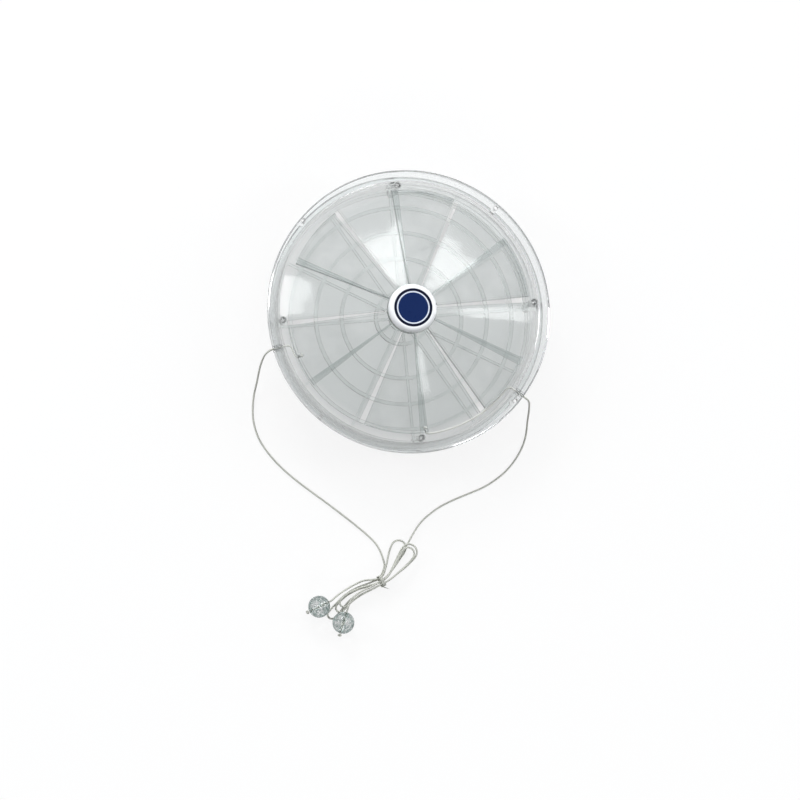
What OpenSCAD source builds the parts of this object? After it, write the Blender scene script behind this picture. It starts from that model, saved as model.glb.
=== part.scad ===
// Round clear-plastic window ventilator with a cord-driven rotary shutter.
// It lies on its back: +Z is the room side, z = 0 is the rear face of the weather guard,
// and +Y is its top when it hangs in the pane. Clock angles run clockwise from +Y.

/* [Front housing] */
// Outer diameter of the room-side flange
flange_d = 200; // [190:1:220]
// Width of the flat flange band
flange_w = 7.3; // [6.5:0.1:9]
// Thickness of the flange
flange_t = 3.9; // [3.4:0.1:5]
// Height of the rounded lip above the flange
lip_h = 0.8; // [0.7:0.1:1.2]
// Width of the rounded lip
lip_w = 1.1; // [0.9:0.1:1.2]
// Width of the channel between the shutter vanes and the flange
channel_w = 6.7; // [6.2:0.1:7.5]
// Wall of the cone of fixed sectors
cone_wall = 1.6; // [1.2:0.1:2.4]
// Slope of the cone
cone_deg = 9.65; // [8:0.05:11]
// Height of the cone's edge at the vanes above the back of the flange
cone_edge_h = 1.1; // [0.8:0.1:1.6]
// Wall of the barrel that passes through the pane
barrel_wall = 1.5; // [1.2:0.1:2]
// Depth of the barrel behind the flange
barrel_depth = 17.5; // [14:0.5:19]
// Gap between the barrel and the step of the flange
barrel_inset = 0.2; // [0.1:0.1:0.4]
// Number of shutter vanes, and of openings behind them
vane_count = 6; // [6:1:6]
// Angle of each opening
opening_deg = 29.6; // [26:0.2:30]
// Width of the stiffening ribs on the sector edges
edge_rib_w = 1.3; // [0.8:0.1:1.8]
// Depth of the stiffening ribs on the sector edges
edge_rib_h = 1.1; // [0.6:0.1:1.6]
// Height of the fine rings on the flange
fine_ring_h = 0.3; // [0.1:0.1:0.5]

/* [Shutter] */
// Angle of each vane
vane_deg = 30.4; // [28:0.2:32]
// Thickness of a vane
vane_t = 1.4; // [1:0.1:2]
// Running gap between the vanes and the fixed sectors
vane_gap = 0.45; // [0.3:0.05:0.8]
// Thickness of the upright lip on the end of each vane
vane_lip_w = 1.6; // [1.2:0.1:2]
// Height of that lip above the vane
vane_lip_h = 2.4; // [2.2:0.1:2.8]
// Angle from fully shut to the ajar state in which it is stored
ajar_deg = 3; // [0:0.5:8]
// Turn from the stored state to fully open
open_turn = 27; // [20:0.5:27]

/* [Hub] */
// Radius of the hub cap and of the roots of the vanes
hub_r = 17; // [15:0.5:19]
// Radius of the cup in the middle of the housing
cup_r = 14; // [13:0.5:14.5]
// Depth of the cup's floor under the cone
cup_depth = 2.8; // [2.4:0.1:3.4]
// Thickness of the cup's floor
cup_floor_t = 2.4; // [2:0.1:3]
// Radius of the spindle
spindle_r = 2.5; // [2:0.1:3]
// Radius of the head of the spindle
spindle_head_r = 4.6; // [4:0.1:5.5]
// Height of the head of the spindle
spindle_head_h = 2.6; // [2:0.1:3.2]
// Wall of the bush in the rotor
bush_wall = 1.3; // [1:0.1:1.6]
// Height of the dome of the hub cap
cap_h = 4.6; // [4.4:0.1:6]
// Wall of the hub cap
cap_wall = 1.3; // [1:0.1:1.6]
// Radius of the round badge
badge_r = 13.4; // [11:0.1:13.6]
// Thickness of the badge
badge_t = 0.5; // [0.4:0.1:0.7]

/* [Rear clamp ring and guard] */
// Width of the flange of the rear clamp ring
rear_w = 4.7; // [3.6:0.1:5.5]
// Thickness of its flange
rear_t = 3.5; // [2.5:0.1:4.5]
// Wall of its skirt
skirt_wall = 1.8; // [1.4:0.1:2.2]
// Height of its skirt, from the resting face to its flange
skirt_h = 19.5; // [17:0.5:24]
// Space for the pane between the two gaskets
pane_gap = 7.5; // [4:0.5:10]
// Thickness of each gasket
gasket_t = 1.5; // [1:0.1:2]
// Height of the guard's concentric rings
guard_ring_h = 2.4; // [1.8:0.1:3]
// Width of the guard's concentric rings
guard_ring_w = 2.4; // [1.8:0.1:3]
// Number of radial bars of the guard
guard_bars = 12; // [8:1:16]
// Width of the radial bars
guard_bar_w = 1.6; // [1.2:0.1:2.2]
// Height of the rim of the guard
guard_rim_h = 4; // [3:0.1:6]
// Width of the rim of the guard
guard_rim_w = 3.2; // [2.4:0.1:4]

/* [Fasteners] */
// Distance from the fixing holes to the edge of the flange
fix_inset = 2.8; // [2.8:0.1:3.2]
// Radius of a fixing hole
fix_hole_r = 1.5; // [1.2:0.1:1.5]
// Distance from the clamp screws to the outside of the barrel
clamp_inset = 3.1; // [3:0.1:3.3]
// Radius of a clamp screw
clamp_screw_r = 1.4; // [1.2:0.1:1.5]
// Radius of the head of a clamp screw
clamp_head_r = 2.1; // [1.9:0.1:2.2]
// Height of the head of a clamp screw
clamp_head_h = 1.3; // [1:0.1:1.6]
// Wall of the bosses round the clamp screws
boss_wall = 0.6; // [0.5:0.1:0.8]

/* [Cords] */
// Diameter of the pull cord
cord_d = 1.4; // [1.2:0.1:1.5]
// Distance from the vanes to the arc along which a cord runs round the channel
cord_arc_gap = 1.2; // [1.1:0.1:1.5]
// Radius of the turn from the channel into the guide
cord_turn_r = 3.4; // [2.8:0.1:3.8]
// Half the angle between the two cord guides, seen from the bottom
guide_half_deg = 63.5; // [55:0.5:66]
// Width of a cord guide
guide_w = 4; // [3.6:0.1:5]
// Diameter of a pull bead
bead_d = 15.4; // [12:0.1:18]
// Radius of a cord knot
knot_r = 1.5; // [1.3:0.1:1.7]
// Gap between the piled runs of the hank
hank_gap = 0.5; // [0.45:0.05:0.6]

/* [Hidden] */
$fn = 96;

// Clearances
fit = 0.05;           // pieces that turn or slide on each other
slack = 0.3;          // pieces that are dropped over each other
eps = 0.01;           // overlap that makes a cut go right through
rib_inset = 0.25;     // edge ribs from the edge that they stiffen

// Radii
flange_r = flange_d / 2;
step_r = flange_r - flange_w;
vane_r = step_r - channel_w;
barrel_r = step_r - barrel_inset;
rear_bore_r = barrel_r + slack;
rear_r = rear_bore_r + skirt_wall + rear_w - 1.8;
rim_r = rear_bore_r - slack;
fix_circle_r = flange_r - fix_inset;
clamp_circle_r = barrel_r - clamp_inset;
cord_arc_r = vane_r + cord_arc_gap;
guard_rings = [for (f = [0.2, 0.465, 0.665, 0.86]) f * rim_r];

// Heights, from the resting face up
rear_face_z = skirt_h + rear_t;
flange_back_z = rear_face_z + gasket_t + pane_gap + gasket_t;
flange_z = flange_back_z + flange_t;
lip_z = flange_z + lip_h;
barrel_end_z = flange_back_z - barrel_depth;
edge_z = flange_back_z + cone_edge_h;
// Height of the upper face of the fixed cone at radius r
function cone_z(r) = edge_z + (vane_r - r) * tan(cone_deg);
// Height of the lower face of the vanes at radius r
function vane_z(r) = cone_z(r) + vane_gap;
hub_z = cone_z(hub_r);
cup_floor_z = hub_z - cup_depth;
cup_back_z = cup_floor_z - cup_floor_t;

// Rotor hub
rotor_cup_r = cup_r - 0.4;
rotor_cup_wall = 1.8;
rotor_plate_t = 2;
bush_flange_t = 0.4;
rotor_plate_z = cup_floor_z + fit + bush_flange_t;
rotor_plate_top = rotor_plate_z + rotor_plate_t;
cap_seat_z = vane_z(hub_r) + vane_t + fit;
cap_top_z = cap_seat_z + cap_h;
cap_skirt_r = rotor_cup_r - rotor_cup_wall - fit;
cap_skirt_wall = 1.3;
stop_deg = 10;
turn_deg = ajar_deg + open_turn;
stop_spare_deg = 2;

// Stack on the spindle
bush_r = spindle_r + fit + bush_wall;
washer_r = 5.4;
washer_t = 0.8;
friction_t = 0.9;
nut_r = 4.6;
nut_t = 2;
washer_z = rotor_plate_top + fit;
friction_z = washer_z + washer_t;
nut_z = friction_z + friction_t;
spindle_end_z = nut_z + nut_t + 0.4;

// Clamp screws
clamp_count = 4;
clamp_clock = [-15, 75, 165, 255];
fix_clock = [30, 120, 210, 300];
boss_r = clamp_head_r + fit + boss_wall;
boss_top_z = edge_z + 1.6;
boss_seat_z = boss_top_z - 1.1;
boss_bottom_z = flange_back_z - 6;
lug_top_z = barrel_end_z - slack;
lug_h = 8;
lug_wall = 2;

// Cords
cord_r = cord_d / 2;
cord_z = flange_z - 0.8;
guide_clock = [180 + guide_half_deg, 180 - guide_half_deg];
guide_out = flange_r - 0.8;
guide_in = step_r + 0.5;
guide_bore_r = cord_r + 0.2;
guide_bottom_z = flange_back_z + 1.3;
guide_top_z = cord_z + guide_bore_r + 0.9;
knot_clock = [237, 163];
knot_z = cord_z + 0.9;
knot_seat_r = vane_r - vane_lip_w - knot_r - 0.2;
knot_hole_r = cord_r + 0.2;
bead_r = bead_d / 2;
bead_bore_r = cord_r + 0.3;
// A point at a clock angle, a radius and a height
function clock_point(a, r, z) = [r * sin(a), r * cos(a), z];
function unit(v) = v / norm(v);

// Fine rings on the face of the flange
fine_rings = [for (f = [0.8, 0.6, 0.4, 0.2]) step_r + f * (flange_w - lip_w)];
fine_ring_w = 0.5;

// Colours
clear_plastic = [0.86, 0.89, 0.89, 0.45];
clear_bead = [0.62, 0.7, 0.72, 0.7];
seal_clear = [0.9, 0.92, 0.92, 0.6];
cap_white = [0.95, 0.95, 0.96];
badge_blue = [0.08, 0.17, 0.45];
steel = [0.72, 0.73, 0.75];
cord_white = [0.86, 0.87, 0.82];

// Puts a piece at a clock angle and a radius
module at_clock(a, r = 0, z = 0) {
    rotate([0, 0, -a]) translate([0, r, z]) children();
}

// Flat outline of the part of a ring within a width about a clock angle
module ring_sector(clock, width, r0, r1) {
    intersection() {
        difference() {
            circle(r1);
            circle(r0);
        }
        polygon([[0, 0],
                 for (k = [-1, -0.5, 0, 0.5, 1])
                     1.6 * r1 * [sin(clock + k * width / 2), cos(clock + k * width / 2)]]);
    }
}

// Straight rib down the slope of the cone, with its outer side on a radial edge
module slope_rib(clock, side, r0, r1, z0, h) {
    run = (r1 - r0) / cos(cone_deg);
    rotate([0, 0, -clock])
        translate([side > 0 ? -edge_rib_w - rib_inset : rib_inset, r0, z0])
            rotate([-cone_deg, 0, 0])
                cube([edge_rib_w, run, h]);
}

// Shell of the cone between two radii, with its lower face raised by lift
module cone_shell(r0, r1, lift, t) {
    rotate_extrude()
        polygon([[r0, cone_z(r0) + lift], [r1, cone_z(r1) + lift],
                 [r1, cone_z(r1) + lift + t], [r0, cone_z(r0) + lift + t]]);
}

// Section of the barrel and the flange, with its step, rounded lip and fine rings
module flange_section() {
    lip = [for (k = [0 : 6])
        [flange_r - lip_w / 2 * (1 - cos(30 * k)), lip_z - lip_w / 2 * (1 - sin(30 * k))]];
    rings = [for (r = fine_rings)
        each [[r + fine_ring_w / 2, flange_z], [r + fine_ring_w / 2, flange_z + fine_ring_h],
              [r - fine_ring_w / 2, flange_z + fine_ring_h], [r - fine_ring_w / 2, flange_z]]];
    polygon(concat([[barrel_r - barrel_wall, barrel_end_z], [barrel_r, barrel_end_z],
                    [barrel_r, flange_back_z], [flange_r - 0.4, flange_back_z],
                    [flange_r, flange_back_z + 0.4]],
                   lip, [[flange_r - lip_w, flange_z]], rings,
                   [[step_r, flange_z], [step_r, flange_back_z + 0.6],
                    [barrel_r - barrel_wall, flange_back_z + 0.4]]));
}

// Boss for a clamp screw, on the inside of the barrel
module clamp_boss(clock) {
    at_clock(clock, clamp_circle_r, boss_bottom_z)
        cylinder(r = boss_r, h = boss_top_z - boss_bottom_z);
}

// Slot across the flange in which a cord guide sits
module guide_slot(clock) {
    at_clock(clock, 0, guide_bottom_z - fit)
        translate([-guide_w / 2 - fit, barrel_r - barrel_wall - 0.6, 0])
            cube([guide_w + 2 * fit, flange_w + 6, lip_z - guide_bottom_z + 1]);
}

module front_housing() {
    color(clear_plastic) union() {
        housing_body();
        stop_lug();
    }
}

// Flange, barrel, cone of fixed sectors, cup and bosses
module housing_body() {
    difference() {
        union() {
            rotate_extrude() flange_section();
            difference() {
                cone_shell(cup_r - 0.5, barrel_r - barrel_wall / 2, -cone_wall, cone_wall);
                for (k = [0 : vane_count - 1])
                    translate([0, 0, barrel_end_z])
                        linear_extrude(height = cap_top_z)
                            ring_sector(k * 360 / vane_count, opening_deg, hub_r + 0.5, vane_r);
            }
            for (k = [0 : vane_count - 1], side = [-1, 1])
                slope_rib(k * 360 / vane_count - side * opening_deg / 2, side,
                          hub_r - 1.2, vane_r + 1,
                          cone_z(hub_r - 1.2) - cone_wall - edge_rib_h, edge_rib_h + cone_wall / 2);
            translate([0, 0, cup_back_z])
                cylinder(r = hub_r - 0.4, h = hub_z - cone_wall / 2 - cup_back_z);
            for (a = clamp_clock) clamp_boss(a);
        }
        translate([0, 0, cup_floor_z]) cylinder(r = cup_r, h = cap_h + cup_depth);
        translate([0, 0, cup_back_z - 1])
            cylinder(r = spindle_r + fit, h = cup_floor_t + 2);
        for (a = clamp_clock) {
            at_clock(a, clamp_circle_r, boss_bottom_z - 1)
                cylinder(r = clamp_screw_r + 0.2, h = boss_top_z - boss_bottom_z + 2);
            at_clock(a, clamp_circle_r, boss_seat_z)
                cylinder(r = clamp_head_r + fit, h = boss_top_z - boss_seat_z + 1);
        }
        for (a = fix_clock)
            at_clock(a, fix_circle_r, flange_back_z - 1)
                cylinder(r = fix_hole_r, h = flange_t + lip_h + 2);
        for (a = guide_clock) guide_slot(a);
    }
}

// Lug in the housing's cup against which the rotor stops at both ends of its turn
module stop_lug() {
    translate([0, 0, cup_floor_z - 0.5])
        linear_extrude(height = cup_depth - 0.1)
            ring_sector(0, stop_deg, rotor_cup_r - rotor_cup_wall + fit, cup_r + 0.5);
}

// Flat ring with holes or notches for the fixing screws
module gasket(outer_r, z, hole_r) {
    translate([0, 0, z])
        linear_extrude(height = gasket_t - fit)
            difference() {
                circle(outer_r);
                circle(rear_bore_r);
                for (a = fix_clock) rotate(-a) translate([0, fix_circle_r]) circle(hole_r);
            }
}

module front_gasket() {
    color(seal_clear) gasket(flange_r - 0.6, flange_back_z - gasket_t, fix_hole_r + 0.4);
}

module rear_gasket() {
    color(seal_clear) gasket(rear_r - 0.5, rear_face_z + fit, fix_hole_r + 0.5);
}

// Lug on the inside of the skirt that takes the tip of a clamp screw
module clamp_lug(clock) {
    at_clock(clock, 0, lug_top_z - lug_h) {
        translate([0, clamp_circle_r, 0])
            cylinder(r = clamp_screw_r + fit + lug_wall, h = lug_h);
        translate([-lug_wall, clamp_circle_r, 0])
            cube([2 * lug_wall, rear_bore_r + 0.6 - clamp_circle_r, lug_h]);
    }
}

module rear_ring() {
    color(clear_plastic) difference() {
        union() {
            rotate_extrude()
                polygon([[rear_bore_r, 0], [rear_bore_r + skirt_wall - 0.6, 0],
                         [rear_bore_r + skirt_wall, 2], [rear_bore_r + skirt_wall, skirt_h],
                         [rear_r - 0.8, skirt_h], [rear_r, skirt_h + 0.8],
                         [rear_r, rear_face_z], [rear_bore_r, rear_face_z]]);
            for (a = clamp_clock) clamp_lug(a);
        }
        for (a = clamp_clock)
            at_clock(a, clamp_circle_r, lug_top_z - lug_h - 1)
                cylinder(r = clamp_screw_r + fit, h = lug_h + 2);
        for (a = fix_clock)
            at_clock(a, fix_circle_r, skirt_h - 1)
                cylinder(r = fix_hole_r + 0.4, h = rear_t + 2);
    }
}

// Rear guard: a spider's web of rings and bars in a rim
module weather_guard() {
    color(clear_plastic) union() {
        rotate_extrude()
            polygon([[rim_r - guard_rim_w, 0], [rim_r, 0], [rim_r, guard_rim_h],
                     [rim_r - guard_rim_w / 2, guard_rim_h],
                     [rim_r - guard_rim_w / 2, guard_ring_h],
                     [rim_r - guard_rim_w, guard_ring_h]]);
        for (r = guard_rings)
            rotate_extrude()
                translate([r - guard_ring_w / 2, 0])
                    square([guard_ring_w, guard_ring_h]);
        cylinder(r = guard_rings[0] / 2, h = guard_ring_h);
        for (k = [0 : guard_bars - 1])
            at_clock((k + 0.5) * 360 / guard_bars, guard_rings[0] / 2 - 1)
                translate([-guard_bar_w / 2, 0, 0])
                    cube([guard_bar_w, rim_r - guard_rim_w / 2 - guard_rings[0] / 2,
                          guard_ring_h - 0.4]);
    }
}

// Shutter: six vanes on a cup-shaped hub, with an upright lip on the end of each
module shutter_rotor() {
    color(clear_plastic) difference() {
        union() {
            intersection() {
                rotate_extrude() rotor_section();
                translate([0, 0, barrel_end_z])
                    linear_extrude(height = cap_top_z)
                        rotor_outline();
            }
            for (k = [0 : vane_count - 1], side = [-1, 1])
                slope_rib(k * 360 / vane_count - ajar_deg + side * vane_deg / 2, side,
                          hub_r, vane_r - vane_lip_w / 2,
                          vane_z(hub_r) + vane_t / 2, vane_t / 2 + edge_rib_h);
        }
        stop_notch();
        for (a = knot_clock)
            at_clock(a, knot_seat_r, knot_z) {
                sphere(r = knot_r + 0.1);
                rotate([-90, 0, 0]) cylinder(r = knot_hole_r, h = knot_r + vane_lip_w + 1);
            }
    }
}

// Section of the shutter: hub plate, cup wall, slope and end lip
module rotor_section() {
    wall_r = rotor_cup_r - rotor_cup_wall;
    lip_r = vane_r - vane_lip_w;
    lip_top = vane_z(vane_r) + vane_t + vane_lip_h;
    polygon([[bush_r, rotor_plate_z], [rotor_cup_r, rotor_plate_z],
             [rotor_cup_r, vane_z(rotor_cup_r)], [vane_r, vane_z(vane_r)],
             [vane_r, lip_top], [lip_r, lip_top], [lip_r, vane_z(lip_r) + vane_t],
             [wall_r, vane_z(wall_r) + vane_t], [wall_r, rotor_plate_top],
             [bush_r, rotor_plate_top]]);
}

// Outline of the shutter from the front
module rotor_outline() {
    union() {
        circle(hub_r + 0.5);
        for (k = [0 : vane_count - 1])
            ring_sector(k * 360 / vane_count - ajar_deg, vane_deg, hub_r - 1, vane_r + 1);
    }
}

// Notch in the cup wall of the shutter, in which the stop lug stands
module stop_notch() {
    translate([0, 0, rotor_plate_z - 1])
        linear_extrude(height = cup_depth - bush_flange_t + 0.8)
            ring_sector((open_turn - ajar_deg) / 2, turn_deg + stop_deg + stop_spare_deg,
                        rotor_cup_r - rotor_cup_wall - 0.3, rotor_cup_r + 1);
}

module rotor_bush() {
    color(steel) rotate_extrude()
        polygon([[spindle_r + fit, cup_floor_z + fit],
                 [bush_r + 1.6, cup_floor_z + fit],
                 [bush_r + 1.6, rotor_plate_z],
                 [bush_r, rotor_plate_z],
                 [bush_r, rotor_plate_top],
                 [spindle_r + fit, rotor_plate_top]]);
}

// Spindle: pan head behind the cup's floor and a shank through the bush
module spindle() {
    color(steel) union() {
        rotate_extrude()
            polygon([[0, cup_back_z - spindle_head_h],
                     [spindle_head_r - 1.2, cup_back_z - spindle_head_h],
                     [spindle_head_r, cup_back_z - spindle_head_h + 1.2],
                     [spindle_head_r, cup_back_z], [spindle_r, cup_back_z],
                     [spindle_r, spindle_end_z - 0.5], [spindle_r - 0.5, spindle_end_z],
                     [0, spindle_end_z]]);
    }
}

module spindle_washer() {
    color(steel) translate([0, 0, washer_z]) difference() {
        cylinder(r = washer_r, h = washer_t - fit);
        translate([0, 0, -1]) cylinder(r = spindle_r + fit, h = washer_t + 2);
    }
}

// Dished spring washer that keeps the shutter where it is put
module friction_washer() {
    color(steel) rotate_extrude()
        polygon([[spindle_r + fit, friction_z + friction_t * 0.4],
                 [washer_r - 0.4, friction_z], [washer_r - 0.4, friction_z + friction_t * 0.5],
                 [spindle_r + fit, friction_z + friction_t - fit]]);
}

module spindle_nut() {
    color(steel) translate([0, 0, nut_z]) difference() {
        cylinder(r = nut_r, h = nut_t, $fn = 6);
        translate([0, 0, -1]) cylinder(r = spindle_r + fit, h = nut_t + 2);
    }
}

// Domed cap with a recess for the badge and a skirt that plugs into the rotor's cup
module hub_cap() {
    shoulder_r = badge_r + 0.9;
    dome = [for (k = [0 : 6])
                [shoulder_r + (hub_r - shoulder_r) * sin(k * 15),
                 cap_seat_z + 0.8 + (cap_h - 0.8) * cos(k * 15)]];
    color(cap_white) rotate_extrude()
        polygon(concat([[0, cap_top_z - badge_t], [badge_r + fit, cap_top_z - badge_t],
                        [badge_r + fit, cap_top_z]],
                       dome,
                       [[hub_r, cap_seat_z], [hub_r - cap_wall, cap_seat_z + cap_wall * tan(cone_deg)],
                        [shoulder_r, cap_top_z - badge_t - cap_wall],
                        [cap_skirt_r, cap_top_z - badge_t - cap_wall],
                        [cap_skirt_r, rotor_plate_top + 1.2],
                        [cap_skirt_r - cap_skirt_wall, rotor_plate_top + 1.2],
                        [cap_skirt_r - cap_skirt_wall, cap_top_z - badge_t - cap_wall],
                        [0, cap_top_z - badge_t - cap_wall]]));
}

// Plain blue disc in the cap
module badge() {
    color(badge_blue) translate([0, 0, cap_top_z - badge_t])
        cylinder(r = badge_r, h = badge_t);
}

module clamp_screws() {
    color(clear_plastic) for (a = clamp_clock)
        at_clock(a, clamp_circle_r) difference() {
            rotate_extrude()
                polygon([[0, lug_top_z - lug_h + 1.5], [clamp_screw_r - 0.5, lug_top_z - lug_h + 1.5],
                         [clamp_screw_r, lug_top_z - lug_h + 2], [clamp_screw_r, boss_seat_z],
                         [clamp_head_r, boss_seat_z], [clamp_head_r, boss_seat_z + clamp_head_h - 0.5],
                         [clamp_head_r - 0.5, boss_seat_z + clamp_head_h],
                         [0, boss_seat_z + clamp_head_h]]);
            translate([-clamp_head_r, -0.3, boss_seat_z + clamp_head_h - 0.6])
                cube([2 * clamp_head_r, 0.6, 1]);
        }
}

// Block in the flange with a flared bore for the cord
module cord_guide(clock) {
    color(seal_clear) at_clock(clock, 0) difference() {
        translate([-guide_w / 2, guide_in, guide_bottom_z])
            cube([guide_w, guide_out - guide_in, guide_top_z - guide_bottom_z]);
        translate([0, guide_in - 1, cord_z])
            rotate([-90, 0, 0]) cylinder(r = guide_bore_r, h = guide_out - guide_in + 2);
        translate([0, guide_out + eps, cord_z])
            rotate([90, 0, 0]) cylinder(r1 = guide_bore_r + 0.5, r2 = guide_bore_r, h = 1);
    }
}

module cord_guide_left() {
    cord_guide(guide_clock[0]);
}

module cord_guide_right() {
    cord_guide(guide_clock[1]);
}

// Cord from its guide round the channel to the knot on the shutter.
// It leaves the guide inward, turns, and follows an arc to the clock angle of the knot.
function inner_route(guide, knot) =
    let (way = knot > guide ? 1 : -1,
         centre_r = cord_arc_r + cord_turn_r,
         side_deg = asin(cord_turn_r / centre_r),
         bend = guide + way * side_deg,
         centre = clock_point(bend, centre_r, cord_z),
         straight_r = centre_r * cos(side_deg),
         steps = max(2, round(abs(knot - bend) / 4.5)))
    concat([for (k = [0 : 2]) clock_point(guide, guide_out + (straight_r - guide_out) * k / 2, cord_z)],
           [for (k = [1 : 3])
               centre + clock_point(guide - way * (90 + (90 - side_deg) * k / 3), cord_turn_r, 0)],
           [for (k = [1 : steps])
               clock_point(bend + (knot - bend) * k / steps, cord_arc_r, cord_z)]);

module inner_cord_left() {
    color(cord_white) tube(inner_route(guide_clock[0], knot_clock[0]), cord_r, 8);
}

module inner_cord_right() {
    color(cord_white) tube(inner_route(guide_clock[1], knot_clock[1]), cord_r, 8);
}

// Knot behind the lip of a vane, with the short end that passes through the lip
module rotor_knots() {
    color(cord_white) for (a = knot_clock)
        at_clock(a, knot_seat_r, knot_z) union() {
            sphere(r = knot_r);
            rotate([-90, 0, 0]) cylinder(r = cord_r, h = vane_r - knot_seat_r + fit);
        }
}

// Routes of the free cords, chosen by eye on the surface, from the guide to the hank
lead_out = 3;
left_route = [
    [-94.5, -49.5, 34], [-95.4, -56.5, 24], [-94.5, -65.5, 9], [-94.2, -76, 0.7],
    [-92, -90, 0.7], [-85, -104, 0.7], [-72, -116.5, 0.7], [-55, -127.3, 0.7],
    [-30, -139.7, 0.7], [-6, -152.2, 0.7], [8.5, -161.5, 0.7], [15, -170.5, 0.7]];
right_route = [
    [94.5, -47.3, 34], [97.6, -51, 22], [100.4, -57, 7.5], [102, -68, 0.7],
    [98.7, -81.5, 0.7], [91, -95.3, 0.7], [78.5, -107.8, 0.7], [62, -118.5, 0.7],
    [48.5, -128.3, 0.7], [38.5, -139.5, 0.8], [33.5, -149.5, 2]];

// The routes spread with the flange, and the hank moves with them
spread = flange_r / 100;
hank_shift = (spread - 1) * [15, -170];
function on_table(p) =
    [p[0] * spread, p[1] * spread, p[2] > 5 ? p[2] * cord_z / 36.6 : cord_r + p[2] - 0.7];

// Spine of the hank on the surface, from its upper loops to its lower folds
spine = [for (p = [[31, -157.5], [26, -169.5], [19, -184], [9.5, -191.5], [-3.5, -201],
                   [-15.5, -218.5]]) p + hank_shift];
waist = 2.35;

// Cubic through a list of points: the point at place t, counted in points
function list_at(p, i) = i < 0 ? 2 * p[0] - p[1]
                       : i > len(p) - 1 ? 2 * p[len(p) - 1] - p[len(p) - 2] : p[i];
function cubic(a, b, c, d, f) =
    0.5 * (2 * b + f * (c - a) + f * f * (2 * a - 5 * b + 4 * c - d)
           + f * f * f * (3 * b - a - 3 * c + d));
function along(p, t) =
    let (last = len(p) - 1)
    t <= 0 ? p[0] + t * (p[1] - p[0])
    : t >= last ? p[last] + (t - last) * (p[last] - p[last - 1])
    : let (i = floor(t))
      cubic(list_at(p, i - 1), p[i], p[i + 1], list_at(p, i + 2), t - i);
function smooth(p, steps) =
    [for (i = [0 : steps * (len(p) - 1)]) let (q = along(p, i / steps))
        [q[0], q[1], max(q[2], cord_r)]];
function heading(t) = unit(along(spine, t + 0.02) - along(spine, t - 0.02));
function side(t) = [-heading(t)[1], heading(t)[0]];
function ease(x) = x <= 0 ? 0 : x >= 1 ? 1 : (1 - cos(180 * x)) / 2;

// The pile stands on the tie at the waist, and drops one step at its upper end
tie_under = 1.0;
function pile_z(t, layer) =
    cord_r + hank_step * (layer - (layer < 1 ? 0 : 1 - ease((t - 0.95) / 0.55)))
    + tie_under * ease(1 - abs(t - waist) / 0.9);
// Lateral place of a run between its upper fold, the waist and its lower fold
function run_side(t, t0, side0, side_w, t1, side1) =
    t < waist ? side_w + (side0 - side_w) * ease((waist - t) / (waist - t0))
              : side_w + (side1 - side_w) * ease((t - waist) / (t1 - waist));
function hank_point(t, lateral, z) =
    let (p = along(spine, t) + lateral * side(t)) [p[0], p[1], z];
// Places along the spine at which every run has a ring
stations = [0.95, 1.5, 2, 2.35, 2.7, 3.1, 3.6, 4.1, 4.5];
function ordered(p, up) = up ? p : [for (i = [len(p) - 1 : -1 : 0]) p[i]];
// Share of a climb from one layer to the next that is done at place t
function climb(t) = ease((4 - t) / 1.5);
// One run of a loop, from place ta to tb
function run(ta, tb, t0, side0, side_w, t1, side1, layer_a, layer_b, drop) =
    let (inside = [for (t = stations) if (t > min(ta, tb) + 0.2 && t < max(ta, tb) - 0.2) t])
    [for (t = concat([ta], ordered(inside, tb > ta), [tb]))
        hank_point(t, run_side(t, t0, side0, side_w, t1, side1),
                   pile_z(t, layer_a + (layer_b - layer_a) * climb(t))
                   - drop * hank_step * ease((t - 3.6) / 0.5))];
// Half turn between two runs about a point of the spine, on the side of sense
function fold(t, centre, r, sense, z, n) =
    [for (i = [1 : n - 1]) let (a = 180 * i / n,
                                p = along(spine, t) + (centre - r * cos(a)) * side(t)
                                    + sense * abs(r) * sin(a) * heading(t))
        [p[0], p[1], z]];

// Sizes of the folds: place on the spine, lateral centre and radius
waist_half = (cord_d + 0.5) / 2;
waist_shift = waist_half + 0.2;
hank_step = cord_d + hank_gap;
fold_rings = 6;
fold_r = 3;
left_up = [0.46, -4.2, 5.2];
left_low = [4.86, -0.1, fold_r];
right_up = [[0.4, 3.4, 5.6], [0.52, 3.2, 4.4]];
right_low = [[4.54, 0.9, fold_r], [4.34, 0.4, fold_r]];
left_entry = [1.55, -5.9];
left_leave = [3.35, -5.5];
right_entry = [-0.1, -0.5];
right_leave = [3.6, 1];

// Left cord in the hank: in at the side, once down, up and down again
left_hank =
    let (w = -waist_shift, wl = w - waist_half, wr = w + waist_half,
         ul = left_up[1] - left_up[2], ur = left_up[1] + left_up[2],
         ll = left_low[1] - left_low[2], lr = left_low[1] + left_low[2])
    concat(
        run(left_entry[0], left_low[0], left_entry[0], left_entry[1], wl, left_low[0], ll,
            0, 0, 0),
        fold(left_low[0], left_low[1], left_low[2], 1, pile_z(left_low[0], 0), fold_rings),
        run(left_low[0], left_up[0], left_up[0], ur, wr, left_low[0], lr, 0, 1, 0),
        [for (p = fold(left_up[0], left_up[1], -left_up[2], -1, 0, fold_rings))
            [p[0], p[1], pile_z(0, 1)]],
        run(left_up[0], left_leave[0], left_up[0], ul, wl, left_leave[0], left_leave[1],
            1, 1, 0));

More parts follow.
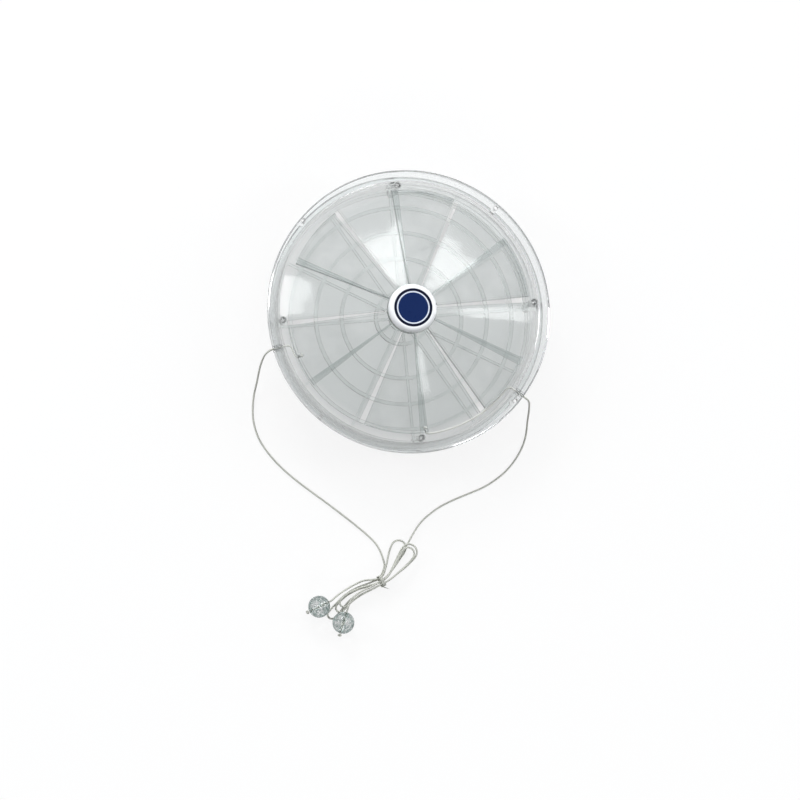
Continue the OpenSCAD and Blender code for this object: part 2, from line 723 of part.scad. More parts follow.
// Right cord in the hank: in at the top, down, up, down, up and down
right_hank =
    let (w = waist_shift, wl = w - waist_half, wr = w + waist_half)
    concat(
        run(right_entry[0], right_low[0][0], right_entry[0], right_entry[1], wl,
            right_low[0][0], right_low[0][1] - fold_r, 2, 2, 1),
        fold(right_low[0][0], right_low[0][1], fold_r, 1, pile_z(4, 1), fold_rings),
        run(right_low[0][0], right_up[0][0], right_up[0][0], right_up[0][1] + right_up[0][2], wr,
            right_low[0][0], right_low[0][1] + fold_r, 2, 3, 1),
        fold(right_up[0][0], right_up[0][1], -right_up[0][2], -1, pile_z(0, 3), fold_rings),
        run(right_up[0][0], right_low[1][0], right_up[0][0], right_up[0][1] - right_up[0][2], wl,
            right_low[1][0], right_low[1][1] - fold_r, 3, 3, 1),
        fold(right_low[1][0], right_low[1][1], fold_r, 1, pile_z(4, 2), fold_rings),
        run(right_low[1][0], right_up[1][0], right_up[1][0], right_up[1][1] + right_up[1][2], wr,
            right_low[1][0], right_low[1][1] + fold_r, 3, 4, 1),
        fold(right_up[1][0], right_up[1][1], -right_up[1][2], -1, pile_z(0, 4), fold_rings),
        run(right_up[1][0], right_leave[0], right_up[1][0], right_up[1][1] - right_up[1][2], wl,
            right_leave[0], right_leave[1], 4, 4, 0));

// Pull beads: place on the surface and direction of the bore, from which the cord comes
left_bead = hank_shift + [-24.5, -212.5];
left_bead_dir = [0.81, 0.58];
right_bead = hank_shift + [-5.8, -220.6];
right_bead_dir = [0.13, 0.99];
left_tail_mid = [[-6.3, -196.2, 4], [-12.6, -202, 6.3]];
right_tail_mid = [[-3.2, -204, 8.2]];
function bead_point(bead, dir, reach) =
    let (d = unit(dir)) [bead[0] + reach * d[0], bead[1] + reach * d[1], bead_r];

// Whole routes of the free stretches
function start_route(i, route, hank) =
    let (a = guide_clock[i])
    concat([clock_point(a, guide_out, cord_z), clock_point(a, guide_out + lead_out, cord_z - 0.1)],
           [for (p = route) on_table(p)], [hank[0]]);
left_path = smooth(start_route(0, left_route, left_hank), 2);
right_path = smooth(start_route(1, right_route, right_hank), 2);
function tail_route(hank, mid, bead, dir) =
    concat([hank[len(hank) - 1]],
           [for (p = mid) [p[0] + hank_shift[0], p[1] + hank_shift[1], p[2]]],
           [bead_point(bead, dir, bead_r + 1.5), bead_point(bead, dir, bead_r - 0.5),
            bead_point(bead, dir, -bead_r - fit)]);
left_tail = tail_route(left_hank, left_tail_mid, left_bead, left_bead_dir);
right_tail = tail_route(right_hank, right_tail_mid, right_bead, right_bead_dir);

// Tube of triangles swept along a path, with flat ends
module tube(path, r, sides) {
    n = len(path);
    rings = [for (i = [0 : n - 1])
        let (d = unit(path[min(i + 1, n - 1)] - path[max(i - 1, 0)]),
             across = unit(cross(d, [0, 0, 1])),
             up = cross(across, d))
        for (k = [0 : sides - 1])
            path[i] + r * (cos(k * 360 / sides) * across + sin(k * 360 / sides) * up)];
    walls = [for (i = [0 : n - 2], k = [0 : sides - 1])
        let (a = i * sides + k, b = i * sides + (k + 1) % sides)
        each [[a, a + sides, b + sides], [a, b + sides, b]]];
    ends = [for (k = [1 : sides - 2])
        each [[0, k, k + 1], [(n - 1) * sides, (n - 1) * sides + k + 1, (n - 1) * sides + k]]];
    polyhedron(points = rings, faces = concat(walls, ends));
}

// Least gap between stretches of one tube that are more than skip rings apart
function least_gap(p, r, skip) =
    min([for (i = [0 : len(p) - 2], j = [i + skip : 1 : len(p) - 2])
            segment_gap(p[i], p[i + 1], p[j], p[j + 1])]) - 2 * r;
function segment_gap(a, b, c, d) =
    min([for (u = [0 : 0.25 : 1], v = [0 : 0.25 : 1])
            norm(a + u * (b - a) - c - v * (d - c))]);
echo(left_hank_gap = least_gap(left_hank, cord_r, 4));
echo(right_hank_gap = least_gap(right_hank, cord_r, 4));

module cord_left() {
    color(cord_white) tube(left_path, cord_r, 8);
}

module cord_right() {
    color(cord_white) tube(right_path, cord_r, 8);
}

module hank_left() {
    color(cord_white) tube(left_hank, cord_r, 6);
}

module hank_right() {
    color(cord_white) tube(right_hank, cord_r, 6);
}

module cord_tail_left() {
    color(cord_white) tube(left_tail, cord_r, 8);
}

module cord_tail_right() {
    color(cord_white) tube(right_tail, cord_r, 8);
}

// Tie wrapped round the waist of the hank, with a short twisted end
module hank_tie() {
    tie_w = 3;
    wall = tie_under - 0.2;
    inner_w = 2 * (waist_shift + waist_half + cord_r) + 1.2;
    inner_h = pile_z(waist, 4) + cord_r - tie_under + 0.6;
    p = along(spine, waist);
    h = heading(waist);
    color(cord_white)
        translate([p[0], p[1], 0])
            rotate([0, 0, atan2(h[1], h[0])])
                rotate([90, 0, 90])
                    translate([0, 0, -tie_w / 2]) {
                        linear_extrude(height = tie_w)
                            translate([0, inner_h / 2 + wall + 0.05])
                                difference() {
                                    tie_outline(inner_w + 2 * wall, inner_h + 2 * wall, 0.8 + wall);
                                    tie_outline(inner_w, inner_h, 0.8);
                                }
                        translate([inner_w / 2 + wall / 2, 2.2, tie_w / 2])
                            rotate([0, 90, 0])
                                cylinder(r1 = 0.9, r2 = 0.25, h = 5.5);
                    }
}

// Rounded rectangle about the origin
module tie_outline(w, h, r) {
    union() {
        square([w - 2 * r, h], center = true);
        square([w, h - 2 * r], center = true);
        for (x = [-1, 1], y = [-1, 1])
            translate([x * (w / 2 - r), y * (h / 2 - r)]) circle(r);
    }
}

// Round bead with a bore for the cord
module cord_bead(bead, dir) {
    a = atan2(dir[1], dir[0]);
    color(clear_bead) translate([bead[0], bead[1], bead_r]) difference() {
        sphere(r = bead_r);
        rotate([0, 90, a]) translate([0, 0, -bead_r - 1])
            cylinder(r = bead_bore_r, h = bead_d + 2);
    }
}

module cord_bead_left() {
    cord_bead(left_bead, left_bead_dir);
}

module cord_bead_right() {
    cord_bead(right_bead, right_bead_dir);
}

// End knots that hold the beads on
module bead_knots() {
    color(cord_white) for (b = [[left_bead, left_bead_dir], [right_bead, right_bead_dir]])
        translate(bead_point(b[0], b[1], -bead_r - fit - knot_r * 0.9)) sphere(r = knot_r);
}

front_housing();
front_gasket();
rear_ring();
rear_gasket();
weather_guard();
shutter_rotor();
rotor_bush();
spindle();
friction_washer();
spindle_washer();
spindle_nut();
hub_cap();
badge();
clamp_screws();
cord_guide_left();
cord_guide_right();
inner_cord_left();
inner_cord_right();
rotor_knots();
cord_left();
cord_right();
hank_left();
hank_right();
cord_tail_left();
cord_tail_right();
hank_tie();
cord_bead_left();
cord_bead_right();
bead_knots();
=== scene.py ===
import math
import bpy
import bmesh
from mathutils import Matrix, Vector


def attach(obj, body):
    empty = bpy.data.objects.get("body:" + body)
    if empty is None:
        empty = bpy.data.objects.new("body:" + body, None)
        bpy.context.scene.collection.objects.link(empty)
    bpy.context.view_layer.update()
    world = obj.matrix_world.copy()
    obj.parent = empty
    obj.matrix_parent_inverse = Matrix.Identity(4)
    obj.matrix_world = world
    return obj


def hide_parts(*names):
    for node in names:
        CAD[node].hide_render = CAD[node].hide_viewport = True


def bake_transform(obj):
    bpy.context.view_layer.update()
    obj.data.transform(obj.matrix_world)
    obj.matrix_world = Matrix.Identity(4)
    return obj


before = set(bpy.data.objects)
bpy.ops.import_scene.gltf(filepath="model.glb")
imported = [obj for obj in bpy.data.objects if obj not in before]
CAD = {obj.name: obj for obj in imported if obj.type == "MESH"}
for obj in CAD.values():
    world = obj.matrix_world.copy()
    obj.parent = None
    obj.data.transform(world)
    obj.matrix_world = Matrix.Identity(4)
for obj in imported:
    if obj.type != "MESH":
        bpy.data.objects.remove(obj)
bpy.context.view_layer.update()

MM = 0.001
SIDES = ("left", "right")

# camera, fitted to the photograph: degrees, mm, and the focal length in the picture's pixels
CAM_TILT, CAM_AZ, CAM_ROLL = 11.44, -132.7, 9.48
CAM_AIM = (8.7, -57.7)
CAM_DIST = 2000.0
CAM_F = 2819.5
PICTURE_W, SENSOR_W = 800, 36

# sizes shared with the solids, in mm and degrees
FLANGE_Z = 37.4
CORD_R, CORD_Z = 0.7, 36.6
GUIDE_OUT = 99.2
GUIDE_CLOCK = (243.5, 116.5)
KNOT_CLOCK = (237.0, 163.0)
ARC_R, TURN_R = 87.2, 3.4
KNOT_SEAT_R, KNOT_Z = 82.7, 37.5
BEAD_R, BORE_R, KNOT_R = 7.7, 1.0, 1.5
BEAD_GAP, TIE_GAP = 0.05, 0.05
BADGE_R = 13.4
TIE_W, TIE_WALL, TIE_INNER = 3.0, 0.8, (6.8, 9.6)
CONE = 9.65

# sizes of the looks alone, in mm
CORD_SLACK = 0.02
KNOT_CORD_R = 0.62
CORD_STEP, KNOT_STEP = 1.6, 0.25
MOUTH_ROUND, BORE_INSET = 0.35, 1.2
RING_LINE_R, RING_LINE_W = 11.05, 0.95

# routes of the free cords, as in the part's source
LEFT_ROUTE = [
    (-94.5, -49.5, 34), (-95.4, -56.5, 24), (-94.5, -65.5, 9), (-94.2, -76, 0.7),
    (-92, -90, 0.7), (-85, -104, 0.7), (-72, -116.5, 0.7), (-55, -127.3, 0.7),
    (-30, -139.7, 0.7), (-6, -152.2, 0.7), (8.5, -161.5, 0.7), (15, -170.5, 0.7)]
RIGHT_ROUTE = [
    (94.5, -47.3, 34), (97.6, -51, 22), (100.4, -57, 7.5), (102, -68, 0.7),
    (98.7, -81.5, 0.7), (91, -95.3, 0.7), (78.5, -107.8, 0.7), (62, -118.5, 0.7),
    (48.5, -128.3, 0.7), (38.5, -139.5, 0.8), (33.5, -149.5, 2)]
BEADS = [((-24.5, -212.5), (0.81, 0.58)), ((-5.8, -220.6), (0.13, 0.99))]
TAIL_MID = [[(-6.3, -196.2, 4), (-12.6, -202, 6.3)], [(-3.2, -204, 8.2)]]

# hank: places along its spine count the spine's points, widths and heights are in mm
SPINE = [(31, -157.5), (26, -169.5), (19, -184), (9.5, -191.5), (-3.5, -201), (-15.5, -218.5)]
STATIONS = [0.95, 1.5, 2, 2.35, 2.7, 3.1, 3.6, 4.1, 4.5]
STATION_GAP = 0.2
STEP = 1.9
LIFT_FROM, LIFT_OVER = 0.95, 0.55
CLIMB_END, CLIMB_OVER = 4, 1.5
DROP_FROM, DROP_OVER = 3.6, 0.5
WAIST, TIE_UNDER, TIE_REACH = 2.35, 1.0, 0.9
WAIST_HALF, WAIST_SHIFT = 0.95, 1.15
FOLD_R = 3.0
LEFT_UP, LEFT_LOW = (0.46, -4.2, 5.2), (4.86, -0.1, FOLD_R)
RIGHT_UP = [(0.4, 3.4, 5.6), (0.52, 3.2, 4.4)]
RIGHT_LOW = [(4.54, 0.9, FOLD_R), (4.34, 0.4, FOLD_R)]
LEFT_ENTRY, LEFT_LEAVE = (1.55, -5.9), (3.35, -5.5)
RIGHT_ENTRY, RIGHT_LEAVE = (-0.1, -0.5), (3.6, 1.0)

# a channel cord: degrees from its guide to where it follows the shutter, degrees before its knot
# where the arc ends, and its last points in degrees before the knot and mm inside the arc
LIP_START = 1.6
LIP_ROUTE = ((0.7, 0.3), (0.15, 0.9), (0, 1.7), (0, 3.2))

# floor: half its width, and how far it lies under the solids, in m
FLOOR_HALF, FLOOR_DROP = 3.0, 0.0002

# light: the direction from which most of it comes, with the sky's strength over a span of it, and
# the shares of plain white, those of the floor by the distance from the axis (a painted shadow under
# the ventilator) and by that direction (painted shade towards the bottom)
SKY_TOP = (-0.165, 0.986, 0)
SKY_RISE, SKY_LEVEL = (-0.25, 0.55), (0.1, 1.4)
SKY_WHITE = 0.28
FLOOR_EDGE, FLOOR_SEEN = (0.078, 0.092), (0.45, 0.85)
FLOOR_RISE, FLOOR_THROUGH = (-0.1, 0.1), (0.45, 0.62)


def make_camera():
    t, a, r = (math.radians(v) for v in (CAM_TILT, CAM_AZ, CAM_ROLL))
    back = Vector((math.sin(t) * math.cos(a), math.sin(t) * math.sin(a), math.cos(t)))
    up0 = Vector((0, 1, 0))
    up0 = (up0 - back * up0.dot(back)).normalized()
    right0 = (-back).cross(up0)
    right = math.cos(r) * right0 + math.sin(r) * up0
    up = -math.sin(r) * right0 + math.cos(r) * up0
    cam = bpy.data.objects.new("camera", bpy.data.cameras.new("camera"))
    bpy.context.scene.collection.objects.link(cam)
    cam.rotation_mode = "QUATERNION"
    cam.rotation_quaternion = Matrix((right, up, back)).transposed().to_quaternion()
    cam.location = (Vector((CAM_AIM[0], CAM_AIM[1], 0)) + back * CAM_DIST) * MM
    cam.data.sensor_width = SENSOR_W
    cam.data.lens = CAM_F / PICTURE_W * SENSOR_W
    cam.data.clip_start, cam.data.clip_end = 0.1, 20
    bpy.context.scene.camera = cam


make_camera()
bpy.context.scene.view_settings.view_transform = "Standard"


# points and routes
def vec(p):
    return Vector(tuple(float(c) for c in p))


def clock_point(a, r, z):
    a = math.radians(a)
    return Vector((r * math.sin(a), r * math.cos(a), z))


def along(p, t):
    """The point at place t on the cubic through the points p."""
    p = [vec(q) for q in p]
    last = len(p) - 1
    if t <= 0:
        return p[0] + t * (p[1] - p[0])
    if t >= last:
        return p[last] + (t - last) * (p[last] - p[last - 1])
    i = int(t)
    f = t - i
    a = p[i - 1] if i > 0 else 2 * p[0] - p[1]
    d = p[i + 2] if i + 2 <= last else 2 * p[last] - p[last - 1]
    b, c = p[i], p[i + 1]
    return 0.5 * (2 * b + f * (c - a) + f * f * (2 * a - 5 * b + 4 * c - d)
                  + f ** 3 * (3 * b - a - 3 * c + d))


def heading(t):
    return (along(SPINE, t + 0.02) - along(SPINE, t - 0.02)).normalized()


def side(t):
    h = heading(t)
    return Vector((-h[1], h[0]))


def ease(x):
    return 0.0 if x <= 0 else 1.0 if x >= 1 else (1 - math.cos(math.pi * x)) / 2


def pile_z(t, layer):
    """Height of a layer of the hank, which the tie lifts off the floor at the waist."""
    drop = 0 if layer < 1 else 1 - ease((t - LIFT_FROM) / LIFT_OVER)
    return CORD_R + STEP * (layer - drop) + TIE_UNDER * ease(1 - abs(t - WAIST) / TIE_REACH)


def run(ta, tb, t0, side0, side_w, t1, side1, layer_a, layer_b, drop):
    """One run of a loop of the hank between the places ta and tb on the spine."""
    inside = [t for t in STATIONS if min(ta, tb) + STATION_GAP < t < max(ta, tb) - STATION_GAP]
    out = []
    for t in [ta] + (inside if tb > ta else inside[::-1]) + [tb]:
        if t < WAIST:
            lateral = side_w + (side0 - side_w) * ease((WAIST - t) / (WAIST - t0))
        else:
            lateral = side_w + (side1 - side_w) * ease((t - WAIST) / (t1 - WAIST))
        p = along(SPINE, t) + lateral * side(t)
        layer = layer_a + (layer_b - layer_a) * ease((CLIMB_END - t) / CLIMB_OVER)
        z = pile_z(t, layer) - drop * STEP * ease((t - DROP_FROM) / DROP_OVER)
        out.append(Vector((p[0], p[1], z)))
    return out


def fold(t, centre, r, sense, z):
    """The half circle that joins two runs at an end of the hank."""
    steps = 6
    out = []
    for i in range(1, steps):
        a = math.pi * i / steps
        p = (along(SPINE, t) + (centre - r * math.cos(a)) * side(t)
             + sense * abs(r) * math.sin(a) * heading(t))
        out.append(Vector((p[0], p[1], z)))
    return out


def left_hank():
    wl, wr = -WAIST_SHIFT - WAIST_HALF, -WAIST_SHIFT + WAIST_HALF
    (ut, uc, ur), (lt, lc, lr) = LEFT_UP, LEFT_LOW
    return (run(LEFT_ENTRY[0], lt, LEFT_ENTRY[0], LEFT_ENTRY[1], wl, lt, lc - lr, 0, 0, 0)
            + fold(lt, lc, lr, 1, pile_z(lt, 0))
            + run(lt, ut, ut, uc + ur, wr, lt, lc + lr, 0, 1, 0)
            + fold(ut, uc, -ur, -1, pile_z(0, 1))
            + run(ut, LEFT_LEAVE[0], ut, uc - ur, wl, LEFT_LEAVE[0], LEFT_LEAVE[1], 1, 1, 0))


def right_hank():
    wl, wr = WAIST_SHIFT - WAIST_HALF, WAIST_SHIFT + WAIST_HALF
    (at, ac, ar), (bt, bc, br) = RIGHT_UP
    (ct, cc, cr), (dt, dc, dr) = RIGHT_LOW
    return (run(RIGHT_ENTRY[0], ct, RIGHT_ENTRY[0], RIGHT_ENTRY[1], wl, ct, cc - cr, 2, 2, 1)
            + fold(ct, cc, cr, 1, pile_z(4, 1))
            + run(ct, at, at, ac + ar, wr, ct, cc + cr, 2, 3, 1)
            + fold(at, ac, -ar, -1, pile_z(0, 3))
            + run(at, dt, at, ac - ar, wl, dt, dc - dr, 3, 3, 1)
            + fold(dt, dc, dr, 1, pile_z(4, 2))
            + run(dt, bt, bt, bc + br, wr, dt, dc + dr, 3, 4, 1)
            + fold(bt, bc, -br, -1, pile_z(0, 4))
            + run(bt, RIGHT_LEAVE[0], bt, bc - br, wl, RIGHT_LEAVE[0], RIGHT_LEAVE[1], 4, 4, 0))


def bead_point(i, reach):
    """A point on a bead's bore line, so far from the bead's middle towards the hank."""
    (x, y), (dx, dy) = BEADS[i]
    n = math.hypot(dx, dy)
    return Vector((x + reach * dx / n, y + reach * dy / n, BEAD_R))


def whole_cord(i):
    """The ring centres of one free cord: its lead, its hank and its tail."""
    hank = (left_hank, right_hank)[i]()
    route = (LEFT_ROUTE, RIGHT_ROUTE)[i]
    a = GUIDE_CLOCK[i]
    lead = [clock_point(a, GUIDE_OUT, CORD_Z), clock_point(a, GUIDE_OUT + 3, CORD_Z - 0.1)]
    lead = lead + [vec(p) for p in route] + [hank[0]]
    out = [along(lead, k / 2) for k in range(2 * (len(lead) - 1) + 1)]
    out = [Vector((p[0], p[1], max(p[2], CORD_R))) for p in out]
    tail = [vec(p) for p in TAIL_MID[i]]
    tail += [bead_point(i, reach) for reach in (BEAD_R + 1.5, BEAD_R - 0.5, -BEAD_R - BEAD_GAP)]
    return out + hank[1:] + tail


def finer(points, step, floor=CORD_R):
    """Points on a centripetal cubic through the given ones, about step apart."""
    p = [2 * points[0] - points[1]] + list(points) + [2 * points[-1] - points[-2]]
    out = [points[0].copy()]
    for i in range(1, len(p) - 2):
        a, b, c, d = p[i - 1], p[i], p[i + 1], p[i + 2]
        t1 = max((b - a).length, 1e-6) ** 0.5
        t2 = t1 + max((c - b).length, 1e-6) ** 0.5
        t3 = t2 + max((d - c).length, 1e-6) ** 0.5
        n = max(1, round((c - b).length / step))
        for k in range(1, n + 1):
            t = t1 + (t2 - t1) * k / n
            a1 = a * ((t1 - t) / t1) + b * (t / t1)
            a2 = b * ((t2 - t) / (t2 - t1)) + c * ((t - t1) / (t2 - t1))
            a3 = c * ((t3 - t) / (t3 - t2)) + d * ((t - t2) / (t3 - t2))
            b1 = a1 * ((t2 - t) / t2) + a2 * (t / t2)
            b2 = a2 * ((t3 - t) / (t3 - t1)) + a3 * ((t - t1) / (t3 - t1))
            q = b1 * ((t2 - t) / (t2 - t1)) + b2 * ((t - t1) / (t2 - t1))
            out.append(Vector((q[0], q[1], q[2] if floor is None else max(q[2], floor))))
    return out


def inner_route(guide, knot):
    """From the guide round the channel, and through the vane's lip to the knot."""
    way = 1 if knot > guide else -1
    centre_r = ARC_R + TURN_R
    turn = math.degrees(math.asin(TURN_R / centre_r))
    bend = guide + way * turn
    centre = clock_point(bend, centre_r, CORD_Z)
    straight = centre_r * math.cos(math.radians(turn))
    steps, bend_steps, least_steps, step_angle, rise_from = 6, 8, 30, 0.9, 0.6
    out = [clock_point(guide, GUIDE_OUT + (straight - GUIDE_OUT) * k / steps, CORD_Z)
           for k in range(steps + 1)]
    out += [centre + clock_point(guide - way * (90 + (90 - turn) * k / bend_steps), TURN_R, 0)
            for k in range(1, bend_steps + 1)]
    last = knot - way * LIP_START
    steps = max(least_steps, round(abs(last - bend) / step_angle))
    out += [clock_point(bend + (last - bend) * k / steps, ARC_R,
                        CORD_Z + (KNOT_Z - CORD_Z) * ease((k / steps - rise_from) / (1 - rise_from)))
            for k in range(1, steps + 1)]
    out += [clock_point(knot - way * before, ARC_R - depth, KNOT_Z) for before, depth in LIP_ROUTE]
    return out


def tie_path():
    """A few turns of thin cord round a box with round corners, across and up, and along the hank."""
    half_w = TIE_INNER[0] / 2 + TIE_WALL / 2
    half_h = TIE_INNER[1] / 2 + TIE_WALL / 2
    corner = 0.8 + TIE_WALL / 2
    turns, steps = 3.25, 40
    squareness, corner_cut, width_used = 0.16, 0.7, 0.72
    pts = []
    for k in range(int(turns * steps) + 1):
        a = 2 * math.pi * k / steps - math.pi / 2
        c, d = math.cos(a), math.sin(a)
        u = math.copysign(abs(c) ** squareness, c) * half_w
        v = math.copysign(abs(d) ** squareness, d) * half_h
        excess = max(0.0, math.hypot(max(abs(u) - half_w + corner, 0),
                                     max(abs(v) - half_h + corner, 0)) - corner)
        u -= math.copysign(excess * corner_cut, u) if excess else 0
        v -= math.copysign(excess * corner_cut, v) if excess else 0
        pts.append((u, v, TIE_W * (k / (turns * steps) - 0.5) * width_used))
    return pts


def place_tie(p):
    at = along(SPINE, WAIST) + p[0] * side(WAIST) + p[2] * heading(WAIST)
    return Vector((at[0], at[1], TIE_INNER[1] / 2 + TIE_WALL + TIE_GAP + p[1]))


# meshes
def new_object(name, mesh):
    o = bpy.data.objects.new(name, mesh)
    bpy.context.scene.collection.objects.link(o)
    return o


def smooth_closed(mesh):
    """Turns the faces of a closed mesh outwards and shades them smooth."""
    bm = bmesh.new()
    bm.from_mesh(mesh)
    bmesh.ops.recalc_face_normals(bm, faces=bm.faces)
    bm.to_mesh(mesh)
    bm.free()
    mesh.shade_smooth()


def tube(name, points, radius, sides=10):
    """A tube in metres along points in millimetres, with a UV map: round it, and along it in mm."""
    n = len(points)
    verts, faces, uvs = [], [], []
    length = [0.0]
    for i in range(1, n):
        length.append(length[-1] + (points[i] - points[i - 1]).length)
    d = (points[1] - points[0]).normalized()
    across = d.cross(Vector((0, 0, 1)))
    across = across.normalized() if across.length > 1e-3 else Vector((1, 0, 0))
    for i in range(n):
        d = (points[min(i + 1, n - 1)] - points[max(i - 1, 0)]).normalized()
        across = (across - d * across.dot(d)).normalized()
        up = across.cross(d)
        r = radius[i] if isinstance(radius, list) else radius
        for k in range(sides):
            a = 2 * math.pi * k / sides
            verts.append((points[i] + r * (math.cos(a) * across + math.sin(a) * up)) * MM)
    for i in range(n - 1):
        for k in range(sides):
            a, b = i * sides + k, i * sides + (k + 1) % sides
            faces.append((a, b, b + sides, a + sides))
            uvs.append([(k / sides, length[i]), ((k + 1) / sides, length[i]),
                        ((k + 1) / sides, length[i + 1]), (k / sides, length[i + 1])])
    faces.append(tuple(range(sides))[::-1])
    uvs.append([(0, 0)] * sides)
    faces.append(tuple((n - 1) * sides + k for k in range(sides)))
    uvs.append([(0, length[-1])] * sides)
    mesh = bpy.data.meshes.new(name)
    mesh.from_pydata([tuple(v) for v in verts], [], faces)
    layer = mesh.uv_layers.new(name="round_along")
    for poly, uv in zip(mesh.polygons, uvs):
        for loop, place in zip(poly.loop_indices, uv):
            layer.data[loop].uv = place
    smooth_closed(mesh)
    return new_object(name, mesh)


def ball_with_bore(name):
    """A ball about the origin with its bore along z, and a small round at both mouths.

    The bore has a material of its own, so that the cord in it isn't darkened twice.
    """
    steps, mouth_steps, sides = 40, 4, 72
    rim = math.asin((BORE_R + MOUTH_ROUND) / BEAD_R)
    ball = [(BEAD_R * math.sin(a), BEAD_R * math.cos(a))
            for a in (rim + (math.pi - 2 * rim) * k / steps for k in range(steps + 1))]
    top = ball[0][1]
    quarter = [math.pi / 2 * k / mouth_steps for k in range(1, mouth_steps)]
    mouth = [(BORE_R + MOUTH_ROUND * (1 - math.sin(a)), top - MOUTH_ROUND * (1 - math.cos(a)) - 0.01)
             for a in quarter]
    bore = [(BORE_R, -BEAD_R + BORE_INSET), (BORE_R, BEAD_R - BORE_INSET)]
    section = ball + [(r, -z) for r, z in mouth] + bore + mouth[::-1]
    verts = [(r * math.cos(t) * MM, r * math.sin(t) * MM, z * MM) for r, z in section
             for t in (2 * math.pi * k / sides for k in range(sides))]
    n = len(section)
    faces = [(i * sides + k, i * sides + (k + 1) % sides,
              (i + 1) % n * sides + (k + 1) % sides, (i + 1) % n * sides + k)
             for i in range(n) for k in range(sides)]
    mesh = bpy.data.meshes.new(name)
    mesh.from_pydata(verts, [], faces)
    mesh.materials.append(CLEAR_BEAD)
    mesh.materials.append(CLEAR_BORE)
    for face in mesh.polygons[(len(ball) - 1) * sides:]:
        face.material_index = 1
    smooth_closed(mesh)
    return new_object(name, mesh)


def overhand_knot(name, reach, radius):
    """A tight overhand knot about the origin."""
    flat = (reach - radius) / 3
    steps, tied, open_end = 48, 0.94, 0.03
    pts = []
    for k in range(steps + 1):
        t = 2 * math.pi * (k / steps * tied + open_end)
        pts.append(Vector((flat * (math.sin(t) + 2 * math.sin(2 * t)),
                           flat * (math.cos(t) - 2 * math.cos(2 * t)),
                           -0.55 * radius * math.sin(3 * t))))
    return tube(name, finer(pts, KNOT_STEP, None), radius)


def turned(o, at, direction):
    """Places a piece that was made about its own z axis."""
    turn = vec(direction).normalized().to_track_quat("Z", "Y").to_matrix().to_4x4()
    o.data.transform(Matrix.Translation(vec(at) * MM) @ turn)


# nodes: m is a material or the world
def node(m, kind, **values):
    """A new node, with values for its sockets or settings."""
    n = m.node_tree.nodes.new(kind)
    for k, v in values.items():
        if k in n.inputs:
            n.inputs[k].default_value = v
        else:
            setattr(n, k, v)
    return n


def link(m, a, b):
    m.node_tree.links.new(a, b)


def calc(m, operation, *values, clamp=False):
    """A sum, product or comparison of numbers and other nodes' outputs."""
    n = node(m, "ShaderNodeMath", operation=operation, use_clamp=clamp)
    for socket, value in zip(n.inputs, values):
        if isinstance(value, (int, float)):
            socket.default_value = value
        else:
            link(m, value, socket)
    return n.outputs["Value"]


def mapped(m, value, source, target):
    """A value carried over from one span to another."""
    n = node(m, "ShaderNodeMapRange")
    n.inputs["From Min"].default_value, n.inputs["From Max"].default_value = source
    n.inputs["To Min"].default_value, n.inputs["To Max"].default_value = target
    link(m, value, n.inputs["Value"])
    return n.outputs["Result"]


def coordinates(m, kind="Object"):
    return node(m, "ShaderNodeTexCoord").outputs[kind]


def from_axis(m, source, target=(0, 1)):
    """A span of distances from the ventilator's axis, carried over to another span."""
    flat = node(m, "ShaderNodeVectorMath", operation="MULTIPLY")
    flat.inputs[1].default_value = (1, 1, 0)
    link(m, coordinates(m), flat.inputs[0])
    distance = node(m, "ShaderNodeVectorMath", operation="LENGTH")
    link(m, flat.outputs["Vector"], distance.inputs[0])
    return mapped(m, distance.outputs["Value"], source, target)


def towards_top(m, kind, source, target):
    """A span of places or directions towards SKY_TOP, carried over to another span."""
    rise = node(m, "ShaderNodeVectorMath", operation="DOT_PRODUCT")
    rise.inputs[1].default_value = SKY_TOP
    link(m, coordinates(m, kind), rise.inputs[0])
    return mapped(m, rise.outputs["Value"], source, target)


def painted_edge_shade(m, factor, loss):
    """The factor, less where the surface is seen at a slant: painted shade on the edges."""
    slant = node(m, "ShaderNodeLayerWeight", Blend=0.35)
    return calc(m, "MULTIPLY_ADD", slant.outputs["Facing"], -loss, factor)


def noise(m, scale, detail=3):
    n = node(m, "ShaderNodeTexNoise", Scale=scale, Detail=detail)
    link(m, coordinates(m), n.inputs["Vector"])
    return n.outputs["Fac"]


def bump(m, b, height, strength, distance):
    n = node(m, "ShaderNodeBump", Strength=strength, Distance=distance)
    link(m, height, n.inputs["Height"])
    link(m, n.outputs["Normal"], b.inputs["Normal"])


def vary(m, b, socket, factor, low, high):
    """Maps a factor between two numbers on a socket."""
    link(m, mapped(m, factor, (0, 1), (low, high)), b.inputs[socket])


def ramp(m, factor, low, high, start=0.0, end=1.0):
    """A ramp between two colours."""
    n = node(m, "ShaderNodeValToRGB")
    for stop, color, position in zip(n.color_ramp.elements, (low, high), (start, end)):
        stop.color = (*color, 1)
        stop.position = position
    link(m, factor, n.inputs["Fac"])
    return n


def vary_color(m, b, factor, low, high, start=0.3, end=0.7):
    """Puts a ramp between two colours on the base colour, and returns its stops."""
    n = ramp(m, factor, low, high, start, end)
    link(m, n.outputs["Color"], b.inputs["Base Color"])
    return n.color_ramp.elements


# materials
def material(name, color, roughness, **inputs):
    m = bpy.data.materials.new(name)
    m.use_nodes = True
    b = m.node_tree.nodes["Principled BSDF"]
    b.inputs["Base Color"].default_value = (*color, 1)
    b.inputs["Roughness"].default_value = roughness
    for k, v in inputs.items():
        b.inputs[k.replace("_", " ")].default_value = v
    return m, b


def clear_material(name, color, ior=1.49, rough=(0.02, 0.07), wave=0.25, scale=28):
    """Clear plastic with an uneven gloss and a slight waviness."""
    m, b = material(name, color, rough[0], Transmission_Weight=1.0, IOR=ior)
    vary(m, b, "Roughness", noise(m, 55), *rough)
    bump(m, b, noise(m, scale, 2), wave, 0.0006)
    return m, b


